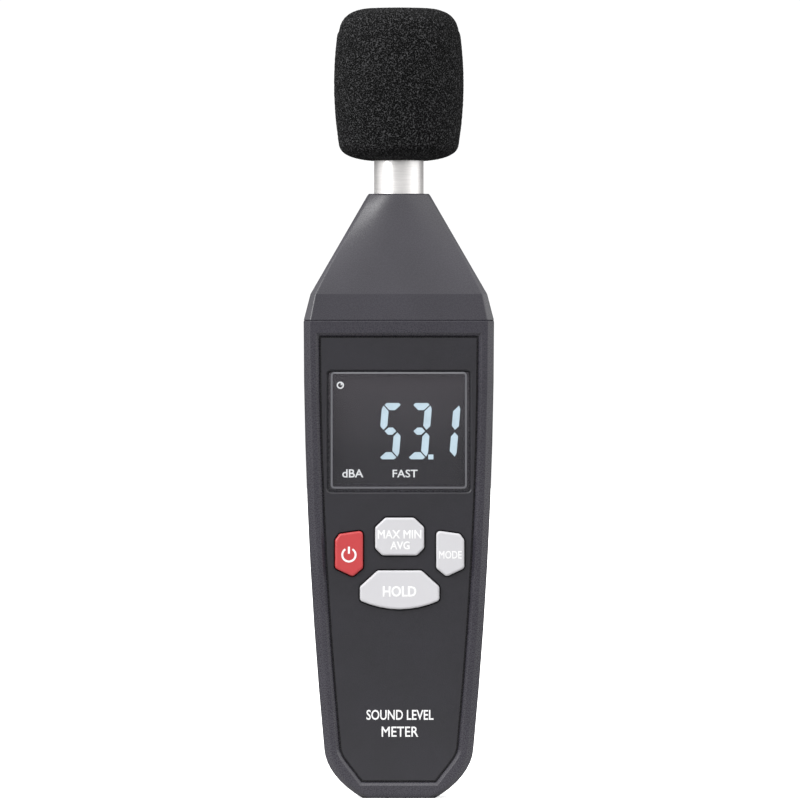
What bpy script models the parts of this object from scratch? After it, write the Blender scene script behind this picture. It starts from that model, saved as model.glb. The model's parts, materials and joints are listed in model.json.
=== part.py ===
"""A hand-held sound level meter, built as the separate pieces that it is assembled from.

Units are metres. +Z runs up the meter to its microphone, the front faces -Y, and the origin is the
middle of the flat end that the meter stands on. The microphone's axis is the Z axis.
"""

import math

import bmesh
import bpy
from mathutils import Matrix, Vector

# Fits
GAP = 0.0003
PARTING = GAP / 2
OVERRUN = 0.002
BEHIND = 0.0200

# Case: its sides bow out to the widest height, a band above that leads into the sloping head
WIDEST = 0.0244
WIDEST_Z = 0.1220
SIDE_BOW = 0.442
FOOT_CORNER = ((0.0092, 0.0), (0.0152, 0.0033), (0.01885, 0.0082), (0.01912, 0.0125))
SEAM_Z = 0.1224
SEAM_SIZE = 0.0002
CREASE_Z = 0.1292
CREASE_HALF_WIDTH = 0.02265
COLLAR_Z = 0.1545
COLLAR_HALF = 0.0081
TOP_Z = 0.1550
TOP_HALF = 0.0077
FRONT_DEPTH = 0.0130
REAR_DEPTH = 0.0140
CREASE_SETBACK = 0.0004
FOOT_SETBACK = 0.0009
FRONT_CHAMFER = 0.0017
REAR_CHAMFER = 0.0014
CREASE_CHAMFER = 0.0013
HEAD_CHAMFER = 0.0008
HEAD_CHAMFER_SHARE = 0.3
HEAD_STEPS = 10
HEAD_BOW = 0.38
HEAD_BOW_POWER = 1.3
CHAMFER_SOFTENING = 0.0003
WALL = 0.0023
CAVITY_FOOT = 0.0022
CAVITY_TOP = 0.1500
CAVITY_STEP = 0.0014
CAVITY_SKIN = 0.0016
CAVITY_CORNER = 0.0010
CAVITY_CORNER_GROWTH = 0.13
CAVITY_FOOT_HEIGHTS = (CAVITY_FOOT, 0.0040, 0.0065, 0.0095, 0.0125)
FRONT_CAVITY_HEIGHTS = CAVITY_FOOT_HEIGHTS + (0.0300, 0.0550, 0.0850, 0.1198)
FRONT_CAVITY_HEAD = ((0.1215, 0.0106), (CREASE_Z, 0.0104), (CAVITY_TOP, 0.0068))
REAR_CAVITY_HEIGHTS = CAVITY_FOOT_HEIGHTS + (0.0300, 0.0550, 0.0760)
REAR_CAVITY_HEAD = ((0.0780, 0.0120), (0.1000, 0.0120), (CREASE_Z, 0.0114), (CAVITY_TOP, 0.0068))
PASSAGE_LENGTH = 0.020
LIP_HEIGHTS = (0.0128, 0.0300, 0.0550, 0.0850, 0.1224, 0.1292, 0.1490)
LIP_HEIGHT = 0.0012
LIP_ROOT = 0.0020
LIP_THICKNESS = 0.0008
LIP_FOOT_HALF = 0.0070

# Front panel
PANEL_INSET = 0.0040
PANEL_TOP = 0.1184
PANEL_CORNER = ((0.0095, 0.0042), (0.0127, 0.0086), (0.0149, 0.0106), (0.01515, 0.0128))
PANEL_GAP = 0.00045
PANEL_FRONT = -0.0124
PANEL_BACK = -0.0108
RECESS_FLOOR = -0.0105
INNER_FRONT = -0.0090
WELL_BACK = -0.0080
BEZEL_EDGE = 0.0009
PANEL_STEPS = 7

# Display
WINDOW_LOW = (-0.0183, 0.0785)
WINDOW_HIGH = (0.0183, 0.1095)
WINDOW_CORNER = 0.0009
WINDOW_BEVEL = 0.0004
WINDOW_FRONT = -0.0120
LENS_LOW = (-0.01745, 0.07935)
LENS_HIGH = (0.01745, 0.10925)
LENS_CORNER = 0.0009
LENS_BEVEL = 0.0005
LENS_STEP = 0.00035
VIEW_LOW = (-0.0166, 0.0806)
VIEW_HIGH = (0.0166, 0.1080)
LCD_LOW = (-0.0186, -0.0087, 0.0780)
LCD_HIGH = (0.0186, -0.0065, 0.1106)
BACKLIGHT_LOW = (-0.0180, -0.0062, 0.0803)
BACKLIGHT_HIGH = (0.0180, -0.0046, 0.1103)
CONNECTOR_LOW = (-0.0150, -0.0062, 0.0783)
CONNECTOR_HIGH = (0.0150, -0.0043, 0.0799)
FRAME_OUTER = ((-0.0204, 0.0763), (0.0204, 0.1122))
FRAME_INNER = ((-0.0189, 0.0777), (0.0189, 0.1109))
FRAME_CORNER = 0.0008

# Main board
BOARD_FRONT = -0.0040
BOARD_BACK = -0.0024
BOARD_LOW_Z = 0.0140
BOARD_HIGH_Z = 0.1180
BOARD_LOW_HALF = 0.0158
BOARD_HIGH_HALF = 0.0205
BOARD_SCREWS = ((-0.0160, 0.1150), (0.0160, 0.1150), (-0.0130, 0.0260), (0.0130, 0.0260))
BOARD_BOSS = 0.0022
BOARD_HOLE = 0.0011
BOSS_ROOT = -0.0098
TOP_BOSS_ROOT = -0.0113
BOARD_SCREW_TIP = -0.0081
BOARD_SCREW_HEAD = 0.0018
BOARD_SCREW_HEAD_HEIGHT = 0.0012
BOARD_SCREW_SHANK = 0.0008

# Board parts: (name, low x, low z, high x, high z, height, material)
BOARD_PARTS = (
    ("microcontroller", -0.0110, 0.0790, 0.0010, 0.0910, 0.0016, "black_plastic"),
    ("amplifier_chip", -0.0025, 0.0990, 0.0025, 0.1030, 0.0015, "black_plastic"),
    ("crystal", -0.0175, 0.0830, -0.0130, 0.0930, 0.0030, "satin_steel"),
    ("calibration_trimmer", 0.0095, 0.0990, 0.0160, 0.1055, 0.0045, "trimmer_plastic"),
    ("mic_connector", -0.0030, 0.1120, 0.0030, 0.1160, 0.0030, "light_guide"),
)
CAPACITORS = ((0.0135, 0.0810), (0.0135, 0.0890))
CAPACITOR_RADIUS = 0.0030
CAPACITOR_HEIGHT = 0.0060

# Buttons: outlines are (x, z) of their sharp corners, counter-clockwise from the foot
KEYPAD_X = 0.0002
BUTTON_CORNER = 0.0010
BUTTON_FRONT = -0.0136
BUTTON_BACK = -0.0082
BUTTON_EDGE = 0.0006
BUTTON_EDGE_STEPS = 3
BUTTON_GAP = 0.0003
BUTTON_PASSAGE = 0.0005
SHIELD = (
    (0.0120, 0.0568),
    (0.01656, 0.05895),
    (0.01656, 0.0662),
    (0.01545, 0.0678),
    (0.00936, 0.06866),
    (0.00936, 0.0590),
)
OCTAGON_RIGHT = ((0.00443, 0.06224), (0.00629, 0.0641), (0.00629, 0.06945), (0.00367, 0.07194))
HOLD_FOOT_Z = 0.04844
HOLD_FOOT_BOW = 21.5
HOLD_HALF_WIDTH = 0.01019
HOLD_SHOULDER = ((HOLD_HALF_WIDTH, 0.05427), (0.00561, 0.05842))
FLANGE_FRONT = INNER_FRONT + GAP
FLANGE_BACK = -0.0077
FLANGE_RIM = 0.0011
STEM_END = -0.0072
STEM_RADIUS = 0.0015
SWITCH_TOP = -0.0060
SWITCH_HALF = 0.0030
SWITCH_WELL = 0.0019
SWITCH_WELL_FLOOR = -0.0046
PLUNGER_RADIUS = 0.0016
PLUNGER_BASE = -0.0055
SIDE_SWITCH_X = 0.0127
SIDE_SWITCH_Z = 0.0632
UPPER_SWITCH_Z = 0.0670
LOWER_SWITCH_Z = 0.0535

# Case screws and their posts
CASE_SCREWS = ((-0.0175, 0.1230), (0.0175, 0.1230), (-0.0115, 0.0090), (0.0115, 0.0090))
POST_RADIUS = 0.0034
BOSS_RADIUS = 0.0030
SCREW_SEAT = 0.0070
SCREW_HEAD = 0.0024
SCREW_HEAD_HEIGHT = 0.0016
SCREW_SHANK = 0.0010
SCREW_TIP = -0.0066
CLEARANCE_HOLE = 0.0013
POST_ROOT = 0.0113
TOP_POST_ROOT = 0.0128
PILOT_FLOOR = -0.0070
BOARD_PILOT_FLOOR = -0.0085

# Batteries, their bay and its door
CELL_RADIUS = 0.00525
CELL_LENGTH = 0.0445
NUB_RADIUS = 0.0019
NUB_HEIGHT = 0.0008
CELL_PITCH = 0.0108
CELL_Y = 0.0067
BAY_HALF_WIDTH = 0.0168
BAY_LOW_Z = 0.0180
BAY_HIGH_Z = 0.0703
BAY_FLOOR = 0.00115
BAY_WALL = 0.0014
BAY_BACK = 0.0115
CONTACT_THICKNESS = 0.0005
CONTACT_HALF = 0.0036
BOTTOM_CONTACT_Z = BAY_LOW_Z + GAP
TOP_CONTACT_Z = BAY_HIGH_Z - GAP - CONTACT_THICKNESS
TAIL_HALF = 0.0010
SLOT_HALF = 0.0014
SPRING_RADIUS = 0.0028
SPRING_TURNS = 4
SPRING_STEPS = 9
CELL_EDGE = 0.0004
SPRING_LENGTH = 0.0053
SPRING_WIRE = 0.0003
DOOR_SEAT = 0.0120
DOOR_TOP_Z = 0.0740
DOOR_FOOT_Z = 0.0157
DOOR_INNER_HALF = 0.0173
DOOR_OUTER_HALF = 0.0166
UNDER_DOOR = 0.0105
GRIP_HALF = 0.0070
GRIP_LOW_Z = 0.0560
GRIP_PITCH = 0.0020
GRIP_WIDTH = 0.0009
GRIP_DEPTH = 0.0005
ARROW = ((0.0, 0.0475), (0.0038, 0.0520), (-0.0038, 0.0520))
ARROW_DEPTH = 0.0004

# Tripod bush
BUSH_Z = 0.0920
BUSH_RADIUS = 0.0045
BUSH_BORE = 0.003175
BUSH_BACK = 0.0137
BUSH_FRONT = 0.0061
BUSH_BOSS = 0.0065
BUSH_ROOT = 0.0050
BUSH_FLOOR = 0.0012
BUSH_EDGE = 0.0004

# Microphone and its windscreen
TUBE_RADIUS = 0.00635
TUBE_BORE = 0.00535
TUBE_LOW_Z = 0.1340
TUBE_HIGH_Z = 0.1874
GRILLE_TOP_Z = 0.1918
GRILLE_TOP = 0.0010
GRILLE_EDGE = 0.0006
GRILLE_SLOT_PITCH = 0.0018
GRILLE_SLOT_HALF = 0.0004
GRILLE_SLOT_REACH = 0.0046
CAPSULE_RADIUS = 0.0050
CAPSULE_LOW_Z = 0.1780
CAPSULE_HIGH_Z = 0.1884
HOLDER_RADIUS = 0.0078
HOLDER_LOW_Z = 0.1360
HOLDER_HIGH_Z = 0.1420
PREAMP_LOW = (-0.0042, -0.0005, 0.1520)
PREAMP_HIGH = (0.0042, 0.0005, 0.1740)
LEAD_PATH = ((0.0, 0.0, 0.1516), (0.0, 0.0, 0.1300), (0.0, 0.0010, 0.1280), (0.0, -0.0006, 0.1164))
LEAD_RADIUS = 0.0008
FOAM_RADIUS = 0.0166
FOAM_WIDEST_Z = 0.1833
FOAM_BOW = 5.2
FOAM_TOP_Z = 0.2028
FOAM_BORE = TUBE_RADIUS + GAP
FOAM_BORE_TOP = 0.1924
FOAM_CROWN = ((0.0080, 0.20265), (0.0132, 0.2022), (0.0149, 0.1998), (0.01535, 0.1968))
FOAM_FOOT = ((0.01535, 0.1677), (0.0150, 0.1656), (0.0130, 0.1642), (0.0072, 0.1636))

MATERIALS = {
    "case_plastic": ((0.070, 0.068, 0.075), 0.55, 0.0),
    "panel_plastic": ((0.045, 0.044, 0.050), 0.55, 0.0),
    "window_plastic": ((0.030, 0.030, 0.034), 0.08, 0.0),
    "light_button": ((0.75, 0.75, 0.77), 0.40, 0.0),
    "red_button": ((0.62, 0.025, 0.035), 0.40, 0.0),
    "foam": ((0.012, 0.012, 0.014), 1.0, 0.0),
    "satin_steel": ((0.70, 0.70, 0.71), 0.30, 1.0),
    "black_plastic": ((0.02, 0.02, 0.02), 0.50, 0.0),
    "circuit_board": ((0.02, 0.16, 0.06), 0.45, 0.0),
    "brass": ((0.75, 0.55, 0.22), 0.35, 1.0),
    "spring_steel": ((0.62, 0.62, 0.62), 0.30, 1.0),
    "rubber": ((0.03, 0.03, 0.03), 0.80, 0.0),
    "display_glass": ((0.16, 0.18, 0.18), 0.10, 0.0),
    "light_guide": ((0.82, 0.86, 0.90), 0.30, 0.0),
    "cell_sleeve": ((0.10, 0.11, 0.13), 0.35, 0.0),
    "trimmer_plastic": ((0.03, 0.09, 0.40), 0.35, 0.0),
    "wire_sleeve": ((0.08, 0.08, 0.09), 0.50, 0.0),
}


def clear_scene():
    for obj in list(bpy.data.objects):
        bpy.data.objects.remove(obj, do_unlink=True)


def new_collection(name):
    collection = bpy.data.collections.new(name)
    bpy.context.scene.collection.children.link(collection)
    return collection


def new_material(name):
    colour, roughness, metallic = MATERIALS[name]
    material = bpy.data.materials.new(name)
    material.use_nodes = True
    shader = material.node_tree.nodes["Principled BSDF"]
    shader.inputs["Base Color"].default_value = (*colour, 1.0)
    shader.inputs["Roughness"].default_value = roughness
    shader.inputs["Metallic"].default_value = metallic
    return material


clear_scene()
PARTS = new_collection("sound_level_meter")
CUTTERS = new_collection("cutters")
SHADERS = {name: new_material(name) for name in MATERIALS}


# ---- Outlines ----


def bezier(start, pull_start, pull_end, end, steps):
    """Points along a cubic curve between two points, both included."""
    points = []
    for step in range(steps + 1):
        t = step / steps
        weights = ((1 - t) ** 3, 3 * t * (1 - t) ** 2, 3 * t * t * (1 - t), t**3)
        parts = zip(weights, (start, pull_start, pull_end, end))
        scaled = [[weight * value for value in point] for weight, point in parts]
        points.append(tuple(sum(values) for values in zip(*scaled)))
    return points


def mix(a, b, share):
    return a + (b - a) * share


def bowed_half_width(z):
    return WIDEST - SIDE_BOW * (WIDEST_Z - z) ** 2


def case_half_width(z):
    """Half the case's width at any height, from its foot to the collar."""
    corner = bezier(*FOOT_CORNER, 12)
    if z >= CREASE_Z:
        return mix(CREASE_HALF_WIDTH, COLLAR_HALF, (z - CREASE_Z) / (COLLAR_Z - CREASE_Z))
    if z >= SEAM_Z:
        return mix(WIDEST, CREASE_HALF_WIDTH, (z - SEAM_Z) / (CREASE_Z - SEAM_Z))
    if z >= corner[-1][1]:
        return bowed_half_width(z)
    for (low_x, low_z), (high_x, high_z) in zip(corner, corner[1:]):
        if z <= high_z:
            return mix(low_x, high_x, (z - low_z) / (high_z - low_z))


def mirrored(right_side):
    """A closed outline from its right-hand points, which run upwards."""
    return list(right_side) + [(-x, z) for x, z in reversed(right_side)]


def rectangle(low, high, corner=0.0, steps=3):
    """A closed counter-clockwise outline, with round corners if a radius is given."""
    if not corner:
        return [low, (high[0], low[1]), high, (low[0], high[1])]
    points = []
    centres = (
        (high[0] - corner, low[1] + corner, -90),
        (high[0] - corner, high[1] - corner, 0),
        (low[0] + corner, high[1] - corner, 90),
        (low[0] + corner, low[1] + corner, 180),
    )
    for x, z, start in centres:
        for step in range(steps + 1):
            angle = math.radians(start + 90 * step / steps)
            points.append((x + corner * math.cos(angle), z + corner * math.sin(angle)))
    return points


def grown(outline, distance):
    """A convex counter-clockwise outline moved outwards by a distance, with sharp corners."""
    points = []
    count = len(outline)
    for index in range(count):
        before = Vector(outline[index - 1])
        here = Vector(outline[index])
        after = Vector(outline[(index + 1) % count])
        along_in = (here - before).normalized()
        along_out = (after - here).normalized()
        normal_in = Vector((along_in.y, -along_in.x))
        normal_out = Vector((along_out.y, -along_out.x))
        corner = (normal_in + normal_out).normalized()
        moved = here + corner * (distance / corner.dot(normal_in))
        points.append((moved.x, moved.y))
    return points


def panel_outline():
    """The edge of the recess that the face plate lies in."""
    start = PANEL_CORNER[-1][1]
    heights = [mix(start, PANEL_TOP, (step + 1) / PANEL_STEPS) for step in range(PANEL_STEPS)]
    sides = [(bowed_half_width(z) - PANEL_INSET, z) for z in heights]
    return mirrored(bezier(*PANEL_CORNER, 6) + sides)


def rounded(outline, radius, steps=4):
    """The outline with an arc for each corner. Corners that hardly turn are left as they are."""
    points = []
    for index, corner in enumerate(outline):
        here = Vector(corner)
        back = Vector(outline[index - 1]) - here
        ahead = Vector(outline[(index + 1) % len(outline)]) - here
        turn = math.pi - back.angle(ahead)
        if turn < math.radians(15):
            points.append(corner)
            continue
        reach = radius * math.tan(turn / 2)
        start = here + back.normalized() * reach
        middle = (back.normalized() + ahead.normalized()).normalized()
        centre = here + middle * (radius / math.cos(turn / 2))
        spoke = start - centre
        for step in range(steps + 1):
            angle = turn * step / steps
            x = spoke.x * math.cos(angle) - spoke.y * math.sin(angle)
            z = spoke.x * math.sin(angle) + spoke.y * math.cos(angle)
            points.append((centre.x + x, centre.y + z))
    return points


def placed(outline, scale_x=1.0):
    """A button's outline with round corners, on the keypad's centre line, mirrored for scale_x = -1."""
    points = [(KEYPAD_X + x * scale_x, z) for x, z in outline]
    return rounded(points if scale_x > 0 else points[::-1], BUTTON_CORNER)


def hold_outline():
    """A wide hexagon whose foot is an arc."""
    right = []
    for step in range(5):
        x = HOLD_HALF_WIDTH * step / 4
        right.append((x, HOLD_FOOT_Z + HOLD_FOOT_BOW * x * x))
    right += HOLD_SHOULDER
    return right + [(-x, z) for x, z in reversed(right[1:])]


BUTTONS = {
    "power": (placed(SHIELD, -1.0), "red_button"),
    "max_min": (placed(mirrored(OCTAGON_RIGHT)), "light_button"),
    "mode": (placed(SHIELD), "light_button"),
    "hold": (placed(hold_outline()), "light_button"),
}
SWITCH_CENTRES = {
    "power": (KEYPAD_X - SIDE_SWITCH_X, SIDE_SWITCH_Z),
    "max_min": (KEYPAD_X, UPPER_SWITCH_Z),
    "mode": (KEYPAD_X + SIDE_SWITCH_X, SIDE_SWITCH_Z),
    "hold": (KEYPAD_X, LOWER_SWITCH_Z),
}


# ---- Solids ----


def finish(obj, shader, collection=PARTS, smooth_angle=40.0):
    """Gives an object its material and collection, and shades its round faces smooth."""
    if obj.name not in collection.objects:
        collection.objects.link(obj)
    obj.data.materials.clear()
    obj.data.materials.append(SHADERS[shader])
    obj.data.shade_smooth()
    obj.data.set_sharp_from_angle(angle=math.radians(smooth_angle))
    return obj


def as_cutter(obj):
    if obj.name not in CUTTERS.objects:
        CUTTERS.objects.link(obj)
    obj.hide_render = True
    obj.display_type = "WIRE"
    return obj


def from_bmesh(name, bm):
    bmesh.ops.recalc_face_normals(bm, faces=bm.faces)
    mesh = bpy.data.meshes.new(name)
    bm.to_mesh(mesh)
    bm.free()
    return bpy.data.objects.new(name, mesh)


def add_box(bm, low, high):
    made = bmesh.ops.create_cube(bm, size=1.0)["verts"]
    size = [b - a for a, b in zip(low, high)]
    middle = [(a + b) / 2 for a, b in zip(low, high)]
    bmesh.ops.scale(bm, vec=size, verts=made)
    bmesh.ops.translate(bm, vec=middle, verts=made)


def add_cylinder(bm, centre, start_y, end_y, radius, segments=16):
    """A cylinder along Y whose centre is given as (x, z)."""
    turn = Matrix.Rotation(math.radians(-90), 4, "X")
    middle = Vector((centre[0], (start_y + end_y) / 2, centre[1]))
    bmesh.ops.create_cone(
        bm,
        cap_ends=True,
        segments=segments,
        radius1=radius,
        radius2=radius,
        depth=abs(end_y - start_y),
        matrix=Matrix.Translation(middle) @ turn,
    )


def boxes(name, corners):
    bm = bmesh.new()
    for low, high in corners:
        add_box(bm, low, high)
    return from_bmesh(name, bm)


def cylinders(name, rows):
    """One object from rows of (centre, start_y, end_y, radius)."""
    bm = bmesh.new()
    for centre, start_y, end_y, radius in rows:
        add_cylinder(bm, centre, start_y, end_y, radius)
    return from_bmesh(name, bm)


def box_part(name, low, high, shader):
    return finish(boxes(name, [(low, high)]), shader)


def mesh_of_curve(holder):
    """The closed mesh object that a curve object makes, in the curve's place."""
    CUTTERS.objects.link(holder)
    bpy.context.view_layer.update()
    evaluated = holder.evaluated_get(bpy.context.evaluated_depsgraph_get())
    mesh = bpy.data.meshes.new_from_object(evaluated)
    bm = bmesh.new()
    bm.from_mesh(mesh)
    bmesh.ops.remove_doubles(bm, verts=bm.verts, dist=1e-7)
    bmesh.ops.recalc_face_normals(bm, faces=bm.faces)
    bm.transform(holder.matrix_world)
    bm.to_mesh(mesh)
    bm.free()
    name = holder.name
    bpy.data.objects.remove(holder)
    return bpy.data.objects.new(name, mesh)


def plate(name, outlines, front_y, back_y):
    """A plate facing -Y. The first outline is its edge, and any others are holes through it."""
    curve = bpy.data.curves.new(name, "CURVE")
    curve.dimensions = "2D"
    curve.fill_mode = "BOTH"
    curve.extrude = (back_y - front_y) / 2
    for outline in outlines:
        spline = curve.splines.new("POLY")
        spline.points.add(len(outline) - 1)
        for point, (x, z) in zip(spline.points, outline):
            point.co = (x, z, 0.0, 1.0)
        spline.use_cyclic_u = True
    holder = bpy.data.objects.new(name, curve)
    holder.rotation_euler = (math.radians(90), 0.0, 0.0)
    holder.location = (0.0, (front_y + back_y) / 2, 0.0)
    return mesh_of_curve(holder)


def wire(name, points, radius, shader):
    """A round wire through a list of points."""
    curve = bpy.data.curves.new(name, "CURVE")
    curve.dimensions = "3D"
    curve.bevel_depth = radius
    curve.bevel_resolution = 2
    curve.use_fill_caps = True
    spline = curve.splines.new("POLY")
    spline.points.add(len(points) - 1)
    for point, co in zip(spline.points, points):
        point.co = (*co, 1.0)
    return finish(mesh_of_curve(bpy.data.objects.new(name, curve)), shader)


def turned(name, profile, steps, shader, along_y=False, closed=True):
    """A body turned about its own Z axis, from (radius, z) points that run down its outer side."""
    mesh = bpy.data.meshes.new(name)
    edges = [(index, index + 1) for index in range(len(profile) - 1)]
    if closed:
        edges.append((len(profile) - 1, 0))
    mesh.from_pydata([(radius, 0.0, z) for radius, z in profile], edges, [])
    obj = bpy.data.objects.new(name, mesh)
    screw = obj.modifiers.new("turn", "SCREW")
    screw.axis = "Z"
    screw.steps = steps
    screw.render_steps = steps
    screw.use_merge_vertices = True
    screw.merge_threshold = 1e-6
    screw.use_smooth_shade = True
    if along_y:
        obj.rotation_euler = (math.radians(-90), 0.0, 0.0)
    obj.data.materials.append(SHADERS[shader])
    PARTS.objects.link(obj)
    return obj


def add_loft(bm, rings):
    """A solid through rings that have the same number of points, closed by its end rings."""
    rows = [[bm.verts.new(co) for co in ring] for ring in rings]
    count = len(rows[0])
    for low, high in zip(rows, rows[1:]):
        for index in range(count):
            after = (index + 1) % count
            bm.faces.new((low[index], low[after], high[after], high[index]))
    bm.faces.new(rows[0])
    bm.faces.new(rows[-1])


def loft(name, rings):
    bm = bmesh.new()
    add_loft(bm, rings)
    return from_bmesh(name, bm)


def layered(name, layers):
    """A loft along Y through rows of (y, outline)."""
    return loft(name, [[(x, y, z) for x, z in outline] for y, outline in layers])


def boolean(obj, operation, other):
    modifier = obj.modifiers.new(other.name, "BOOLEAN")
    modifier.operation = operation
    modifier.solver = "EXACT"
    modifier.object = as_cutter(other)


def cut(obj, other):
    boolean(obj, "DIFFERENCE", other)


def join(obj, other):
    boolean(obj, "UNION", other)


def set_origin(obj, point):
    """Moves a piece's origin without moving the piece."""
    obj.data.transform(Matrix.Translation(-Vector(point)))
    obj.location = point


# ---- Case ----


def half_section(half_width, depth, chamfer, bow):
    """Half a case section as (x, distance from the parting plane), from side to side.

    Its corners are chamfers with softened edges. bow is the share of its depth lost at its sides.
    """
    soft = min(CHAMFER_SOFTENING, chamfer / 3)
    slant = soft * math.sqrt(0.5)
    side_end = depth - chamfer
    flat = half_width - chamfer
    left = [(-half_width, mix(PARTING, side_end - soft, step / 3)) for step in range(4)]
    left.append((-half_width + slant / 4, side_end - soft / 4 + slant / 4))
    left.append((-half_width + slant, side_end + slant))
    left.append((-flat - slant, depth - slant))
    left.append((-flat - slant / 4 + soft / 4, depth - slant / 4))
    left += [(mix(-flat + soft, 0.0, step / 5), depth) for step in range(6)]
    points = left + [(-x, y) for x, y in reversed(left[:-1])]
    return [(x, mix(y, PARTING, bow * (x / half_width) ** 2)) for x, y in points]


def case_stations(depth, chamfer, seam):
    """(z, half width, depth, chamfer, bow) of the sections, from foot to top."""
    rows = []
    for half_width, z in bezier(*FOOT_CORNER, 8):
        rows.append((z, half_width, depth - (FOOT_SETBACK if z == 0.0 else 0.0), chamfer, 0.0))
    start = rows[-1][0]
    for step in range(1, 8):
        z = mix(start, SEAM_Z - SEAM_SIZE, step / 7)
        rows.append((z, bowed_half_width(z), depth, chamfer, 0.0))
    rows.append((SEAM_Z, WIDEST - seam, depth - seam, chamfer, 0.0))
    above = SEAM_Z + SEAM_SIZE
    rows.append((above, case_half_width(above), depth, chamfer, 0.0))
    crease_depth = depth - CREASE_SETBACK
    for step in range(HEAD_STEPS + 1):
        share = step / HEAD_STEPS
        z = mix(CREASE_Z, COLLAR_Z, share)
        bow = HEAD_BOW * share**HEAD_BOW_POWER
        here = mix(crease_depth, COLLAR_HALF, share)
        narrow = mix(CREASE_CHAMFER, HEAD_CHAMFER, min(1.0, share / HEAD_CHAMFER_SHARE))
        rows.append((z, case_half_width(z), here, narrow, bow))
    rows.append((TOP_Z, TOP_HALF, TOP_HALF, HEAD_CHAMFER, HEAD_BOW))
    return rows


def case_half(name, side):
    """The solid outer form of one case half. side is -1 for the front and 1 for the rear."""
    if side < 0:
        rows = case_stations(FRONT_DEPTH, FRONT_CHAMFER, SEAM_SIZE)
    else:
        rows = case_stations(REAR_DEPTH, REAR_CHAMFER, 0.0)
    rings = []
    for z, half_width, depth, chamfer, bow in rows:
        section = half_section(half_width, depth, chamfer, bow)
        rings.append([(x, side * y, z) for x, y in section])
    return loft(name, rings)


def cavity_half_width(z):
    return min(case_half_width(z) - WALL, case_half_width(z - CAVITY_STEP) - CAVITY_SKIN)


def cavity(name, side, depths):
    """The space inside one case half, from (z, depth) rows. It runs on past the parting plane."""
    rings = []
    for z, depth in depths:
        half_width = cavity_half_width(z)
        corner = CAVITY_CORNER + CAVITY_CORNER_GROWTH * max(0.0, z - CREASE_Z)
        flat = half_width - corner
        points = ((-half_width, -OVERRUN), (-half_width, depth - corner), (-flat, depth))
        ring = list(points) + [(-x, y) for x, y in reversed(points)]
        rings.append([(x, side * y, z) for x, y in ring])
    return loft(name, rings)


def tube_passage(name):
    bm = bmesh.new()
    bmesh.ops.create_cone(
        bm,
        cap_ends=True,
        segments=32,
        radius1=FOAM_BORE,
        radius2=FOAM_BORE,
        depth=PASSAGE_LENGTH,
        matrix=Matrix.Translation((0.0, 0.0, TOP_Z)),
    )
    return from_bmesh(name, bm)


def panel_recess():
    """The recess for the face plate, which opens out at the bezel's inner edge."""
    outline = panel_outline()
    wide = grown(outline, BEZEL_EDGE)
    edge_start = -FRONT_DEPTH + BEZEL_EDGE
    layers = (
        (RECESS_FLOOR, outline),
        (edge_start, outline),
        (-FRONT_DEPTH, wide),
        (-FRONT_DEPTH - OVERRUN, wide),
    )
    return layered("panel_recess", layers)


def button_holes(name, margin, front_y, back_y):
    bm = bmesh.new()
    for key, (outline, _) in BUTTONS.items():
        hole = plate(name + key, [grown(outline, margin)], front_y, back_y)
        bm.from_mesh(hole.data)
        bpy.data.objects.remove(hole)
    return from_bmesh(name, bm)


def make_front_case():
    case = finish(case_half("front_case", -1), "case_plastic")
    depths = [(z, -INNER_FRONT) for z in FRONT_CAVITY_HEIGHTS]
    depths += FRONT_CAVITY_HEAD
    cut(case, cavity("front_cavity", -1, depths))
    cut(case, panel_recess())
    view = [rectangle(VIEW_LOW, VIEW_HIGH)]
    cut(case, plate("view_opening", view, RECESS_FLOOR - OVERRUN, WELL_BACK))
    cut(case, button_holes("button_openings", BUTTON_PASSAGE, RECESS_FLOOR - OVERRUN, WELL_BACK))
    bosses = []
    for x, z in CASE_SCREWS:
        root = TOP_BOSS_ROOT if z > PANEL_TOP else BOSS_ROOT
        bosses.append(((x, z), root, -PARTING, BOSS_RADIUS))
    for centre in BOARD_SCREWS:
        bosses.append((centre, BOSS_ROOT, BOARD_FRONT - GAP, BOARD_BOSS))
    join(case, cylinders("front_bosses", bosses))
    pilots = [(centre, PILOT_FLOOR, OVERRUN, CLEARANCE_HOLE) for centre in CASE_SCREWS]
    pilots += [(centre, BOARD_PILOT_FLOOR, BOARD_FRONT, BOARD_HOLE) for centre in BOARD_SCREWS]
    cut(case, cylinders("front_pilots", pilots))
    cut(case, tube_passage("front_tube_passage"))


def parting_lip():
    """Strips on the rear case that stand inside the front case's walls, across the parting gap."""
    bm = bmesh.new()
    for side in (-1, 1):
        rings = []
        for z in LIP_HEIGHTS:
            wall = cavity_half_width(z)
            outer = wall - GAP
            inner = outer - LIP_THICKNESS
            rooted = wall + LIP_THICKNESS / 2
            tongue = ((inner, -LIP_HEIGHT), (outer, -LIP_HEIGHT), (outer, GAP))
            root = ((rooted, GAP), (rooted, LIP_ROOT), (inner, LIP_ROOT))
            rings.append([(side * x, y, z) for x, y in tongue + root])
        add_loft(bm, rings)
    low = CAVITY_FOOT + GAP
    high = low + LIP_THICKNESS
    rooted = CAVITY_FOOT - LIP_THICKNESS / 2
    tongue = ((-LIP_HEIGHT, low), (-LIP_HEIGHT, high), (LIP_ROOT, high))
    root = ((LIP_ROOT, rooted), (GAP, rooted), (GAP, low))
    add_loft(bm, [[(x, y, z) for y, z in tongue + root] for x in (-LIP_FOOT_HALF, LIP_FOOT_HALF)])
    return from_bmesh("parting_lip", bm)


def bay_boxes(margin, low_y, high_y):
    low = (-BAY_HALF_WIDTH - margin, low_y, BAY_LOW_Z - margin)
    high = (BAY_HALF_WIDTH + margin, high_y, BAY_HIGH_Z + margin)
    return low, high


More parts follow.
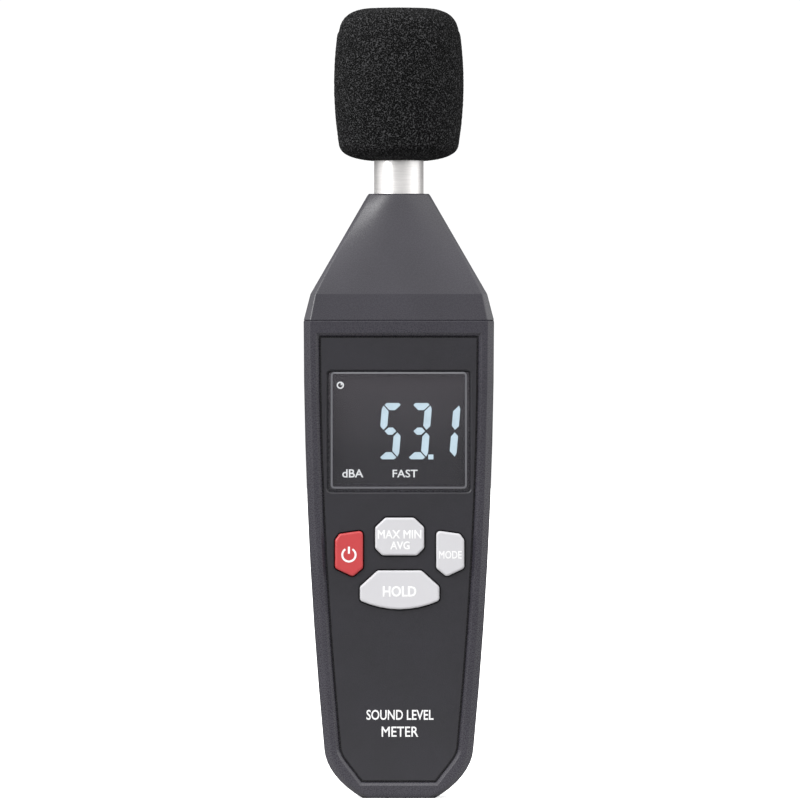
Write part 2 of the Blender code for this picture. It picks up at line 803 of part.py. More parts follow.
def door_prism(name, clearance):
    """The door's dovetail and its full-width foot, grown by a clearance to make its seat."""
    inner_y = DOOR_SEAT + GAP - clearance
    outer_y = REAR_DEPTH + OVERRUN
    slope = (DOOR_INNER_HALF - DOOR_OUTER_HALF) / (REAR_DEPTH - DOOR_SEAT - GAP)
    inner = DOOR_INNER_HALF + clearance + slope * clearance
    outer = DOOR_OUTER_HALF + clearance - slope * OVERRUN
    foot = DOOR_FOOT_Z + clearance
    top = DOOR_TOP_Z + clearance
    below = -OVERRUN
    wide = WIDEST + OVERRUN
    rings = []
    for y, half in ((inner_y, inner), (outer_y, outer)):
        right = [(wide, below), (wide, foot), (half, foot), (half, top)]
        rings.append([(x, y, z) for x, z in mirrored(right)])
    return loft(name, rings)


def contact_slots():
    """The slots in the bay's floor that the two end contacts pass through."""
    rows = []
    for x, low_z in ((CELL_PITCH, TOP_CONTACT_Z), (-CELL_PITCH, BOTTOM_CONTACT_Z)):
        low = (x - SLOT_HALF, -OVERRUN, low_z - GAP)
        high = (x + SLOT_HALF, BAY_FLOOR + OVERRUN, low_z + CONTACT_THICKNESS + GAP)
        rows.append((low, high))
    return boxes("contact_slots", rows)


def make_rear_case():
    case = finish(case_half("rear_case", 1), "case_plastic")
    depths = [(z, UNDER_DOOR) for z in REAR_CAVITY_HEIGHTS]
    depths += REAR_CAVITY_HEAD
    cut(case, cavity("rear_cavity", 1, depths))
    join(case, parting_lip())
    join(case, boxes("bay_block", [bay_boxes(BAY_WALL, PARTING, BAY_BACK)]))
    posts = []
    for x, z in CASE_SCREWS:
        root = TOP_POST_ROOT if z > DOOR_TOP_Z else POST_ROOT
        posts.append(((x, z), PARTING, root, POST_RADIUS))
    posts.append(((0.0, BUSH_Z), BUSH_ROOT, TOP_POST_ROOT, BUSH_BOSS))
    join(case, cylinders("rear_posts", posts))
    cut(case, boxes("bay_space", [bay_boxes(0.0, BAY_FLOOR, BEHIND)]))
    cut(case, door_prism("door_seat", GAP))
    holes = [(centre, -OVERRUN, SCREW_SEAT + OVERRUN, CLEARANCE_HOLE) for centre in CASE_SCREWS]
    cut(case, cylinders("screw_holes", holes))
    wells = [(centre, SCREW_SEAT, BEHIND, SCREW_HEAD + GAP) for centre in CASE_SCREWS]
    wells.append(((0.0, BUSH_Z), BUSH_FRONT - GAP, BEHIND, BUSH_RADIUS + GAP))
    cut(case, cylinders("screw_wells", wells))
    cut(case, contact_slots())
    cut(case, tube_passage("rear_tube_passage"))


def make_battery_door():
    door = finish(door_prism("battery_door", 0.0), "case_plastic")
    boolean(door, "INTERSECT", case_half("door_limit", 1))
    ribs = []
    for index in range(6):
        z = GRIP_LOW_Z + GRIP_PITCH * index
        low = (-GRIP_HALF, REAR_DEPTH - GRIP_DEPTH, z)
        ribs.append((low, (GRIP_HALF, REAR_DEPTH + OVERRUN, z + GRIP_WIDTH)))
    cut(door, boxes("door_grip", ribs))
    cut(door, plate("door_arrow", [ARROW], REAR_DEPTH - ARROW_DEPTH, REAR_DEPTH + OVERRUN))


# ---- Front ----


def make_face_plate():
    window = rectangle(WINDOW_LOW, WINDOW_HIGH, WINDOW_CORNER)
    edge = grown(panel_outline(), -PANEL_GAP)
    face = plate("face_plate", [edge, window], PANEL_FRONT, PANEL_BACK)
    finish(face, "panel_plastic")
    holes = button_holes("plate_holes", BUTTON_GAP, PANEL_FRONT - OVERRUN, PANEL_BACK + OVERRUN)
    cut(face, holes)
    wide = grown(window, WINDOW_BEVEL)
    layers = (
        (PANEL_FRONT + WINDOW_BEVEL * 1.25, grown(window, -WINDOW_BEVEL * 0.25)),
        (PANEL_FRONT, wide),
        (PANEL_FRONT - OVERRUN, wide),
    )
    cut(face, layered("window_bevel", layers))


def make_display_window():
    """A lens whose middle stands up from its rim, with a bevel between them."""
    edge = grown(rectangle(WINDOW_LOW, WINDOW_HIGH, WINDOW_CORNER), -GAP)
    window = plate("display_window", [edge], WINDOW_FRONT, RECESS_FLOOR - GAP)
    finish(window, "window_plastic", smooth_angle=10.0)
    foot = rectangle(LENS_LOW, LENS_HIGH, LENS_CORNER)
    layers = (
        (WINDOW_FRONT + LENS_STEP, foot),
        (WINDOW_FRONT, foot),
        (WINDOW_FRONT - LENS_STEP, grown(foot, -LENS_BEVEL)),
    )
    join(window, layered("lens_middle", layers))


def make_display_module():
    box_part("lcd_glass", LCD_LOW, LCD_HIGH, "display_glass")
    box_part("backlight_panel", BACKLIGHT_LOW, BACKLIGHT_HIGH, "light_guide")
    box_part("lcd_connector", CONNECTOR_LOW, CONNECTOR_HIGH, "rubber")
    outlines = [rectangle(*FRAME_OUTER, FRAME_CORNER), rectangle(*FRAME_INNER)]
    finish(plate("lcd_frame", outlines, LCD_LOW[1], BOARD_FRONT - GAP), "black_plastic")


def make_button(key):
    """A cap with a round front edge, the flange that holds it in, and the stem that presses the switch."""
    outline, shader = BUTTONS[key]
    layers = [(BUTTON_BACK, outline)]
    for step in range(BUTTON_EDGE_STEPS + 1):
        angle = math.radians(90 * step / BUTTON_EDGE_STEPS)
        inset = BUTTON_EDGE * (1 - math.cos(angle))
        front = BUTTON_FRONT + BUTTON_EDGE * (1 - math.sin(angle))
        layers.append((front, grown(outline, -inset)))
    cap = finish(layered(key + "_button", layers), shader)
    centre = SWITCH_CENTRES[key]
    flange = plate(key + "_flange", [grown(outline, FLANGE_RIM)], FLANGE_FRONT, FLANGE_BACK)
    join(cap, flange)
    stem = [(centre, BUTTON_BACK + BUTTON_EDGE / 4, STEM_END, STEM_RADIUS)]
    join(cap, cylinders(key + "_stem", stem))
    set_origin(cap, (centre[0], BUTTON_FRONT, centre[1]))


def make_switch(key):
    x, z = SWITCH_CENTRES[key]
    low = (x - SWITCH_HALF, SWITCH_TOP, z - SWITCH_HALF)
    high = (x + SWITCH_HALF, BOARD_FRONT - GAP, z + SWITCH_HALF)
    body = box_part(key + "_switch", low, high, "black_plastic")
    well = [((x, z), SWITCH_TOP - OVERRUN, SWITCH_WELL_FLOOR, SWITCH_WELL)]
    cut(body, cylinders(key + "_switch_well", well))
    plunger = [((x, z), STEM_END + GAP, PLUNGER_BASE, PLUNGER_RADIUS)]
    finish(cylinders(key + "_plunger", plunger), "black_plastic")


# ---- Electronics ----


def make_main_board():
    right = [(BOARD_LOW_HALF, BOARD_LOW_Z), (BOARD_HIGH_HALF, BOARD_HIGH_Z)]
    board = plate("main_board", [mirrored(right)], BOARD_FRONT, BOARD_BACK)
    finish(board, "circuit_board")
    holes = []
    for centre in BOARD_SCREWS:
        holes.append((centre, BOARD_FRONT - OVERRUN, BOARD_BACK + OVERRUN, BOARD_HOLE))
    cut(board, cylinders("board_holes", holes))
    back = BOARD_BACK + GAP
    for name, low_x, low_z, high_x, high_z, height, shader in BOARD_PARTS:
        box_part(name, (low_x, back, low_z), (high_x, back + height, high_z), shader)
    for index, centre in enumerate(CAPACITORS):
        can = [(centre, back, back + CAPACITOR_HEIGHT, CAPACITOR_RADIUS)]
        finish(cylinders(f"capacitor_{index + 1}", can), "satin_steel")


def make_microphone():
    tube = [
        (TUBE_RADIUS, TUBE_HIGH_Z),
        (TUBE_RADIUS, TUBE_LOW_Z),
        (TUBE_BORE, TUBE_LOW_Z),
        (TUBE_BORE, TUBE_HIGH_Z),
    ]
    turned("mic_tube", tube, 40, "satin_steel")
    capsule = [
        (0.0, CAPSULE_HIGH_Z),
        (CAPSULE_RADIUS, CAPSULE_HIGH_Z),
        (CAPSULE_RADIUS, CAPSULE_LOW_Z),
        (0.0, CAPSULE_LOW_Z),
    ]
    turned("mic_capsule", capsule, 24, "satin_steel", closed=False)
    low = TUBE_HIGH_Z + GAP
    grille = [
        (0.0, GRILLE_TOP_Z),
        (TUBE_RADIUS - GRILLE_EDGE, GRILLE_TOP_Z),
        (TUBE_RADIUS, GRILLE_TOP_Z - GRILLE_EDGE),
        (TUBE_RADIUS, low),
        (TUBE_BORE, low),
        (TUBE_BORE, GRILLE_TOP_Z - GRILLE_TOP),
        (0.0, GRILLE_TOP_Z - GRILLE_TOP),
    ]
    cap = turned("mic_grille", grille, 32, "satin_steel", closed=False)
    slots = []
    for index in range(-2, 3):
        x = GRILLE_SLOT_PITCH * index
        reach = math.sqrt(GRILLE_SLOT_REACH**2 - x * x)
        low = (x - GRILLE_SLOT_HALF, -reach, GRILLE_TOP_Z - 2 * GRILLE_TOP)
        slots.append((low, (x + GRILLE_SLOT_HALF, reach, GRILLE_TOP_Z + GRILLE_TOP)))
    cut(cap, boxes("grille_slots", slots))
    holder = [
        (HOLDER_RADIUS, HOLDER_HIGH_Z),
        (HOLDER_RADIUS, HOLDER_LOW_Z),
        (FOAM_BORE, HOLDER_LOW_Z),
        (FOAM_BORE, HOLDER_HIGH_Z),
    ]
    turned("mic_holder", holder, 32, "rubber")
    box_part("preamp_board", PREAMP_LOW, PREAMP_HIGH, "circuit_board")
    wire("mic_lead", bezier(*LEAD_PATH, 12), LEAD_RADIUS, "wire_sleeve")


def make_windscreen():
    """A foam barrel on the microphone, turned about its axis, with a blind bore from below."""
    crown = bezier(*FOAM_CROWN, 5)
    foot = bezier(*FOAM_FOOT, 5)
    barrel = []
    for step in range(1, 8):
        z = mix(crown[-1][1], foot[0][1], step / 8)
        barrel.append((FOAM_RADIUS - FOAM_BOW * (z - FOAM_WIDEST_Z) ** 2, z))
    bore = [(FOAM_BORE, foot[-1][1]), (FOAM_BORE, FOAM_BORE_TOP), (0.0, FOAM_BORE_TOP)]
    profile = [(0.0, FOAM_TOP_Z)] + crown + barrel + foot + bore
    turned("windscreen", profile, 40, "foam", closed=False)


# ---- Batteries ----


def make_cells():
    """Three cells side by side. The middle one is the other way up, so they join in series."""
    for index in range(3):
        x = CELL_PITCH * (index - 1)
        flipped = index == 1
        body_top = CELL_LENGTH - NUB_HEIGHT
        profile = [
            (0.0, CELL_LENGTH),
            (NUB_RADIUS, CELL_LENGTH),
            (NUB_RADIUS, body_top),
            (CELL_RADIUS - CELL_EDGE, body_top),
            (CELL_RADIUS, body_top - CELL_EDGE),
            (CELL_RADIUS, CELL_EDGE),
            (CELL_RADIUS - CELL_EDGE, 0.0),
            (0.0, 0.0),
        ]
        cell = turned(f"battery_{index + 1}", profile, 20, "cell_sleeve", closed=False)
        spring_low = BOTTOM_CONTACT_Z + CONTACT_THICKNESS + GAP
        if flipped:
            cell.rotation_euler = (math.radians(180), 0.0, 0.0)
            base = spring_low + CELL_LENGTH
            spring_low = base + GAP
        else:
            base = spring_low + SPRING_LENGTH + GAP
        cell.location = (x, CELL_Y, base)
        make_spring(index + 1, x, spring_low)


def make_spring(number, x, low_z):
    steps = SPRING_STEPS * SPRING_TURNS
    points = []
    rise = SPRING_LENGTH - 2 * SPRING_WIRE
    for step in range(steps + 1):
        angle = 2 * math.pi * step / SPRING_STEPS
        z = low_z + SPRING_WIRE + rise * step / steps
        side = (SPRING_RADIUS * math.cos(angle), SPRING_RADIUS * math.sin(angle))
        points.append((x + side[0], CELL_Y + side[1], z))
    wire(f"battery_spring_{number}", points, SPRING_WIRE * 0.9, "spring_steel")


def make_contact(name, left, right, z):
    low = (left - CONTACT_HALF, CELL_Y - CONTACT_HALF, z)
    high = (right + CONTACT_HALF, CELL_Y + CONTACT_HALF, z + CONTACT_THICKNESS)
    return box_part(name, low, high, "spring_steel")


def make_contacts():
    """Plates at the bay's two ends: each link joins two cells, each end contact has a tail."""
    make_contact("top_contact_link", -CELL_PITCH, 0.0, TOP_CONTACT_Z)
    make_contact("bottom_contact_link", 0.0, CELL_PITCH, BOTTOM_CONTACT_Z)
    ends = (
        ("top_contact_end", CELL_PITCH, TOP_CONTACT_Z),
        ("bottom_contact_end", -CELL_PITCH, BOTTOM_CONTACT_Z),
    )
    for name, x, z in ends:
        contact = make_contact(name, x, x, z)
        low = (x - TAIL_HALF, BOARD_BACK + GAP, z)
        high = (x + TAIL_HALF, CELL_Y - CONTACT_HALF + TAIL_HALF, z + CONTACT_THICKNESS)
        join(contact, boxes(name + "_tail", [(low, high)]))


# ---- Fasteners ----


def make_screw(name, centre, seat_y, tip_y, head, head_height, shank):
    """A pan-head screw with a cross recess, driven in along -Y."""
    profile = [
        (0.0, head_height),
        (head * 0.75, head_height),
        (head, head_height * 0.6),
        (head, 0.0),
        (shank, 0.0),
        (shank, tip_y - seat_y + shank),
        (shank * 0.4, tip_y - seat_y),
        (0.0, tip_y - seat_y),
    ]
    screw = turned(name, profile, 16, "spring_steel", along_y=True, closed=False)
    screw.location = (centre[0], seat_y, centre[1])
    arm = head * 0.62
    rib = head * 0.14
    root = rib * 1.4
    cross = [(arm, -rib), (arm, rib), (root, root), (rib, arm), (-rib, arm), (-root, root)]
    cross += [(-x, -z) for x, z in cross]
    outline = [(centre[0] + x, centre[1] + z) for x, z in cross]
    top_y = seat_y + head_height
    cut(screw, plate(name + "_cross", [outline], top_y - head_height * 0.55, top_y + OVERRUN))


def make_fasteners():
    for index, centre in enumerate(CASE_SCREWS):
        seat = SCREW_SEAT + GAP
        name = f"case_screw_{index + 1}"
        make_screw(name, centre, seat, SCREW_TIP, SCREW_HEAD, SCREW_HEAD_HEIGHT, SCREW_SHANK)
    for index, centre in enumerate(BOARD_SCREWS):
        seat = BOARD_BACK + GAP
        name = f"board_screw_{index + 1}"
        head = (BOARD_SCREW_HEAD, BOARD_SCREW_HEAD_HEIGHT)
        make_screw(name, centre, seat, BOARD_SCREW_TIP, *head, BOARD_SCREW_SHANK)


def make_tripod_bush():
    length = BUSH_BACK - BUSH_FRONT
    profile = [
        (0.0, BUSH_FLOOR),
        (BUSH_BORE, BUSH_FLOOR),
        (BUSH_BORE, length - BUSH_EDGE),
        (BUSH_BORE + BUSH_EDGE, length),
        (BUSH_RADIUS, length),
        (BUSH_RADIUS, 0.0),
        (0.0, 0.0),
    ]
    bush = turned("tripod_bush", profile, 32, "brass", along_y=True, closed=False)
    bush.location = (0.0, BUSH_FRONT, BUSH_Z)


make_front_case()
make_rear_case()
make_battery_door()
make_face_plate()
make_display_window()
make_display_module()
for button in BUTTONS:
    make_button(button)
    make_switch(button)
make_main_board()
make_microphone()
make_windscreen()
make_cells()
make_contacts()
make_fasteners()
make_tripod_bush()
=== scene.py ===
"""The looks of the sound level meter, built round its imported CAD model, in metres and in its frame."""

import json
import math

import bmesh
import bpy
import numpy as np
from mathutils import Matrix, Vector, noise


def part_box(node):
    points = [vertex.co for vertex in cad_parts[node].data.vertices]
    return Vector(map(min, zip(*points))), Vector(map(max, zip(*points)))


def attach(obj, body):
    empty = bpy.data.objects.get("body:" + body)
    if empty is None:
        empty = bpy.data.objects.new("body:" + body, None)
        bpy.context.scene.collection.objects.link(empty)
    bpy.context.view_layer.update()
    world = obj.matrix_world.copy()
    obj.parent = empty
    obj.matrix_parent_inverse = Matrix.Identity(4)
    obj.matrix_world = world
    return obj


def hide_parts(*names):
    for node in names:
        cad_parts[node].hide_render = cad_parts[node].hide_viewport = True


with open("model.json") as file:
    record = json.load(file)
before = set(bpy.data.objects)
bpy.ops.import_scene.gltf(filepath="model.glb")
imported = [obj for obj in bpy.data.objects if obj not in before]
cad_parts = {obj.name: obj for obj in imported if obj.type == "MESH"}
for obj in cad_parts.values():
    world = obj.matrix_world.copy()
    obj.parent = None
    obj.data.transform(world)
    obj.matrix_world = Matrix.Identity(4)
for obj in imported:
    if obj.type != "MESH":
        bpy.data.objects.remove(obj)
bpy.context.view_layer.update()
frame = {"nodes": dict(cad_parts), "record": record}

NODES = frame["nodes"]
BODY_OF = {
    node: body
    for body, nodes in frame["record"]["behaviour"]["bodies"].items()
    for node in nodes
}
SLOT_OF = {row["node"]: row["material_slot"] for row in frame["record"]["subparts"]}

# Camera: a long lens, level with the meter's middle
CAMERA_LENS = 600.0
SENSOR = 36.0
CLIP_END = 100.0
VIEW_WIDTH = 0.20566
VIEW_CENTRE = (0.0003, 0.10206)

# Corners this close are one corner, in the CAD solids and in the print
WELD = 2e-6
PRINT_WELD = 1e-8

# Edges broken on the visible pieces, and the angles that count as flat, round and sharp, in degrees
CASE_EDGE = 0.00012
DOOR_EDGE = 0.00010
METAL_EDGE = 0.00005
LENS_EDGE = 0.00004
FLAT_ANGLE = 0.6
ROUND_ANGLE = 32.0
SHARP_ANGLE = 35.0

# Heights of the folds round the case: the head's crease, and both edges of the fine step below it
FOLD_HEIGHTS = (0.1292, 0.1224, 0.1226)

# Seams: the case halves' flat faces, PARTING on either side of the middle in the CAD solids, meet
# here but for a groove on the outside, and the door's inner face comes to a hairline from its seat
PARTING = 0.00015
GROOVE = 0.00009
GROOVE_LOW_Z = 0.0025
DOOR_INNER_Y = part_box("battery_door")[0].y
DOOR_SEAT_Y = 0.0120
DOOR_GAP = 0.00001

# The stretch of the case's middle line that its outside faces away from, and how far a face may
# turn to the front or back and still be its side
AXIS_LOW_Z = 0.03
AXIS_HIGH_Z = 0.15
SIDE_FACING = 0.9

# The lens: its flat front and rim, the tolerance on both, and how far its bevel faces the front, where it
# gets a painted highlight
LENS_FRONT_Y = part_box("display_window")[0].y
LENS_STEP = 0.00035
LENS_RIM_Y = LENS_FRONT_Y + LENS_STEP
LENS_TOLERANCE = 0.00002
LENS_BEVEL_FACING = (0.3, 0.98)

# A layer of ink: print stands out this far from a surface, and lit marks once or twice as far
INK = 0.00002

# Keys have their own colour down to this far behind the face plate's front; deeper down, painted shade
# darkens them so the gap round them reads dark
PANEL_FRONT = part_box("face_plate")[0].y
KEY_SHADE_DEPTH = 0.0003

# Pieces that come in numbers
CASE_SCREWS = 4
BATTERIES = 3


# ---- Materials ----


def add_node(tree, kind, inputs=None, **settings):
    """A new shader node. Each input is a value, or another node's output to link."""
    node = tree.nodes.new("ShaderNode" + kind)
    for name, value in settings.items():
        setattr(node, name, value)
    for socket, value in (inputs or {}).items():
        if isinstance(value, bpy.types.NodeSocket):
            tree.links.new(value, node.inputs[socket])
        else:
            node.inputs[socket].default_value = value
    return node


def feed(tree, socket, value):
    """Links a node's output to a socket of the material's own shader."""
    tree.links.new(value, tree.nodes["Principled BSDF"].inputs[socket])


def new_material(name, colour, roughness, metallic=0.0, **sockets):
    """A Principled material. Any other socket is named with _ for its spaces."""
    material = bpy.data.materials.new(name)
    material.use_nodes = True
    shader = material.node_tree.nodes["Principled BSDF"]
    shader.inputs["Base Color"].default_value = (*colour, 1.0)
    shader.inputs["Roughness"].default_value = roughness
    shader.inputs["Metallic"].default_value = metallic
    for socket, value in sockets.items():
        shader.inputs[socket.replace("_", " ")].default_value = value
    return material


def add_noise(tree, size, detail, stretch=None):
    """A noise texture whose features are about size metres across. stretch scales it per axis."""
    vector = add_node(tree, "TexCoord").outputs["Object"]
    if stretch:
        vector = add_node(tree, "Mapping", {"Scale": stretch, "Vector": vector}).outputs["Vector"]
    inputs = {"Scale": 1 / size, "Detail": detail, "Vector": vector}
    return add_node(tree, "TexNoise", inputs).outputs["Fac"]


def add_cells(tree, size):
    """A texture of round cells: 0 at a cell's middle, and more towards its walls."""
    vector = add_node(tree, "TexCoord").outputs["Object"]
    return add_node(tree, "TexVoronoi", {"Scale": 1 / size, "Vector": vector}).outputs["Distance"]


def ramp(tree, value, low, high, start=0.35, end=0.65, shape="LINEAR"):
    """A number that runs from low to high as value goes from start to end."""
    inputs = {"From Min": start, "From Max": end, "To Min": low, "To Max": high, "Value": value}
    return add_node(tree, "MapRange", inputs, interpolation_type=shape).outputs["Result"]


def combine(tree, operation, first, second):
    """A number worked out from two others."""
    return add_node(tree, "Math", {0: first, 1: second}, operation=operation).outputs["Value"]


def tint(tree, value, dark, light, start=0.35, end=0.65):
    """Feeds the base colour with a blend that runs from dark to light as value rises."""
    share = ramp(tree, value, 0.0, 1.0, start, end)
    blend = add_node(tree, "Mix", {"Factor": share}, data_type="RGBA")
    ends = [socket for socket in blend.inputs if socket.type == "RGBA"]
    for socket, colour in zip(ends, (dark, light)):
        socket.default_value = (*colour, 1.0)
    result = [socket for socket in blend.outputs if socket.type == "RGBA"][0]
    feed(tree, "Base Color", result)


def vary_roughness(tree, value, low, high):
    feed(tree, "Roughness", ramp(tree, value, low, high))


def emboss(tree, value, depth):
    """Turns a texture into bumps depth metres high."""
    bump = add_node(tree, "Bump", {"Strength": 1.0, "Distance": depth, "Height": value})
    feed(tree, "Normal", bump.outputs["Normal"])


def shade(colour, factor):
    """The colour made darker, or lighter up to white."""
    return tuple(min(1.0, value * factor) for value in colour)


PATCH_SIZE = 0.012
GLOSS_SWING = 0.06
BRUSH_LINE = 0.00012


def moulded(name, colour, roughness, grain=0.00028, depth=0.000012, blotch=0.07):
    """Moulded plastic: faint patches of tone, and a spark-eroded grain of bumps and gloss."""
    material = new_material(name, colour, roughness)
    tree = material.node_tree
    patches = add_noise(tree, PATCH_SIZE, detail=3.0)
    tint(tree, patches, shade(colour, 1 - blotch), shade(colour, 1 + blotch))
    fine = add_noise(tree, grain, detail=3.0)
    vary_roughness(tree, fine, roughness - GLOSS_SWING, roughness + GLOSS_SWING)
    emboss(tree, fine, depth)
    return material


def brushed(name, colour, roughness, stretch=(1.0, 1.0, 1.0), depth=0.000002, metallic=1.0):
    """Metal with a fine grain, which an uneven stretch draws out into lines."""
    material = new_material(name, colour, roughness, metallic)
    tree = material.node_tree
    lines = add_noise(tree, BRUSH_LINE, detail=2.0, stretch=stretch)
    tint(tree, lines, dark=shade(colour, 0.93), light=shade(colour, 1.05))
    vary_roughness(tree, lines, low=roughness * 0.8, high=roughness * 1.2)
    emboss(tree, lines, depth)
    return material


def open_cell_foam():
    """Matt black foam, its cells' pits darkened by painted shade between lighter threads."""
    material = new_material("windscreen_foam", (0.010, 0.010, 0.010), 0.85, Specular_IOR_Level=0.08)
    tree = material.node_tree
    cells = ramp(tree, add_cells(tree, size=0.00037), low=0.0, high=1.0, start=0.34, end=0.84)
    grain = ramp(tree, add_noise(tree, size=0.00024, detail=1.0), low=0.60, high=1.0)
    threads = combine(tree, "MULTIPLY", cells, grain)
    # Painted shade: the cells' pits go near black, as if in shadow
    pit_painted_shade = (0.0006, 0.0006, 0.0007)
    thread_colour = (0.060, 0.060, 0.062)
    tint(tree, threads, pit_painted_shade, thread_colour, start=0.20, end=0.95)
    emboss(tree, threads, depth=0.00030)
    return material


def smoked_window():
    """Dark clear plastic, glossy, with a painted reflection that makes it a little lighter towards its top.
    """
    material = new_material("smoked_window", (0.022, 0.021, 0.025), 0.10, Alpha=0.32, Specular_IOR_Level=0.9)
    tree = material.node_tree
    place = add_node(tree, "TexCoord").outputs["Object"]
    height = add_node(tree, "SeparateXYZ", {"Vector": place}).outputs["Z"]
    # Painted reflection: the base colour lightens from the foot to the top, as if the lens reflected the
    # brighter studio above
    foot_colour = (0.030, 0.029, 0.035)
    painted_reflection_top_colour = (0.068, 0.062, 0.072)
    tint(tree, height, foot_colour, painted_reflection_top_colour, start=0.088, end=0.108)
    vary_roughness(tree, add_noise(tree, size=0.02, detail=1.0), low=0.10, high=0.16)
    return material


def lit_mark(name, colour, strength):
    """A lit part of the display, a little uneven like its backlight."""
    material = new_material(name, shade(colour, 0.3), 0.5, Emission_Color=(*colour, 1.0))
    tree = material.node_tree
    glow = add_noise(tree, size=0.003, detail=1.0)
    feed(tree, "Emission Strength", ramp(tree, glow, strength * 0.94, strength * 1.06))
    return material


def dark_glass():
    """The unlit display, with a faint haze."""
    material = new_material("display_glass_look", (0.030, 0.029, 0.033), 0.30)
    haze = add_noise(material.node_tree, size=0.008, detail=2.0)
    tint(material.node_tree, haze, dark=(0.028, 0.027, 0.031), light=(0.033, 0.032, 0.036))
    return material


def board_mask():
    """Green solder mask over faint copper runs."""
    colour = (0.018, 0.14, 0.055)
    material = new_material("board_mask", colour, 0.35)
    tree = material.node_tree
    runs = add_noise(tree, size=0.0012, detail=0.0, stretch=(1.0, 1.0, 0.15))
    tint(tree, runs, dark=shade(colour, 0.7), light=shade(colour, 1.5))
    emboss(tree, runs, depth=0.00002)
    return material


CASE_COLOUR = (0.0228, 0.0212, 0.0282)
PANEL_COLOUR = (0.0060, 0.0053, 0.0090)
KEY_GREY = (0.420, 0.416, 0.432)
KEY_RED = (0.368, 0.029, 0.032)
STEEL = (0.735, 0.72, 0.71)
ROUND_THE_TUBE = (0.03, 0.03, 1.0)

# One look for each of the record's material slots
LOOKS = {
    "case_plastic": moulded("case_plastic_look", CASE_COLOUR, 0.28),
    "panel_plastic": moulded("panel_plastic_look", PANEL_COLOUR, 0.42, depth=0.000022, blotch=0.12),
    "window_plastic": smoked_window(),
    "light_button": moulded("light_button_look", KEY_GREY, 0.42, depth=0.000004, blotch=0.01),
    "red_button": moulded("red_button_look", KEY_RED, 0.40, depth=0.000004, blotch=0.03),
    "foam": open_cell_foam(),
    "satin_steel": brushed("satin_steel_look", STEEL, 0.36, ROUND_THE_TUBE, depth=0.0000003, metallic=0.78),
    "black_plastic": moulded("black_plastic_look", (0.018, 0.018, 0.019), 0.45, grain=0.0002),
    "circuit_board": board_mask(),
    "brass": brushed("brass_look", (0.78, 0.57, 0.25), 0.28),
    "spring_steel": brushed("spring_steel_look", (0.66, 0.65, 0.63), 0.25),
    "rubber": moulded("rubber_look", (0.022, 0.022, 0.022), 0.75, grain=0.0003),
    "display_glass": dark_glass(),
    "light_guide": moulded("light_guide_look", (0.80, 0.84, 0.88), 0.30, depth=0.000002, blotch=0.01),
    "cell_sleeve": moulded("cell_sleeve_look", (0.05, 0.055, 0.065), 0.28, depth=0.000002),
    "trimmer_plastic": moulded("trimmer_look", (0.03, 0.09, 0.40), 0.35, depth=0.000003),
    "wire_sleeve": moulded("wire_sleeve_look", (0.03, 0.03, 0.032), 0.50, grain=0.0004),
}
# Painted shade for the keys' deep sides, which show only in the gap round each key
KEY_GAP_SHADE_LOOKS = {
    "light_button": moulded("light_key_painted_shade", (0.012, 0.012, 0.012), 0.6),
    "red_button": moulded("red_key_painted_shade", (0.045, 0.004, 0.005), 0.6),
}
PRINT_LOOK = moulded("white_print", (0.62, 0.62, 0.62), 0.45, depth=0.000002, blotch=0.01)
SEGMENT_LOOK = lit_mark("lit_segment", (0.58, 0.74, 0.84), 1.75)
SIGN_LOOK = lit_mark("lit_sign", (0.80, 0.82, 0.84), 1.9)
# Painted highlight: a lighter grey for the lens's bevel, standing in for the light it catches
LENS_BEVEL_HIGHLIGHT_LOOK = moulded("lens_bevel_painted_highlight", (0.10, 0.10, 0.11), 0.20, depth=0.000001, blotch=0.02)


# ---- Objects ----


def new_object(name, data):
    obj = bpy.data.objects.new(name, data)
    bpy.context.scene.collection.objects.link(obj)
    return obj


def set_look(obj, look):
    obj.data.materials.clear()
    obj.data.materials.append(look)


def add_to(node, obj, look):
    """The piece gets its look, and rides with a CAD node's body."""
    set_look(obj, look)
    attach(obj, BODY_OF[node])
    return obj


def show_instead(node, obj):
    """The piece is shown in a CAD node's place, with the look of its slot."""
    add_to(node, obj, LOOKS[SLOT_OF[node]])
    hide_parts(node)
    return obj


def evaluated_mesh(obj):
    """A mesh of the object as it shows, with its modifiers applied."""
    graph = bpy.context.evaluated_depsgraph_get()
    return bpy.data.meshes.new_from_object(obj.evaluated_get(graph))


def close_mesh(mesh, weld=0.0):
    """Joins the corners that are nearer than weld, and turns every face outward."""
    bm = bmesh.new()
    bm.from_mesh(mesh)
    if weld:
        bmesh.ops.remove_doubles(bm, verts=bm.verts, dist=weld)
    bmesh.ops.recalc_face_normals(bm, faces=bm.faces)
    bm.to_mesh(mesh)
    bm.free()


def solid_mesh(name, verts, faces):
    """A closed mesh, whose faces may be given either way round."""
    mesh = bpy.data.meshes.new(name)
    mesh.from_pydata(verts, [], faces)
    close_mesh(mesh)
    return mesh


# ---- Pieces made from the CAD solids ----


def welded_copy(node, name):
    """The CAD node's mesh as a new object with shared corners and whole flat faces."""
    bm = bmesh.new()
    bm.from_mesh(NODES[node].data)
    bmesh.ops.remove_doubles(bm, verts=bm.verts, dist=WELD)
    flat = math.radians(FLAT_ANGLE)
    bmesh.ops.dissolve_limit(bm, angle_limit=flat, verts=bm.verts, edges=bm.edges)
    mesh = bpy.data.meshes.new(name)
    bm.to_mesh(mesh)
    bm.free()
    return new_object(name, mesh)


def break_edges(obj, width, segments):
    """Bevels the sharp edges in the object's own mesh."""
    bevel = obj.modifiers.new("edges", "BEVEL")
    bevel.width = width
    bevel.segments = segments
    bevel.limit_method = "ANGLE"
    bevel.angle_limit = math.radians(SHARP_ANGLE)
    mesh = evaluated_mesh(obj)
    obj.modifiers.clear()
    obj.data = mesh


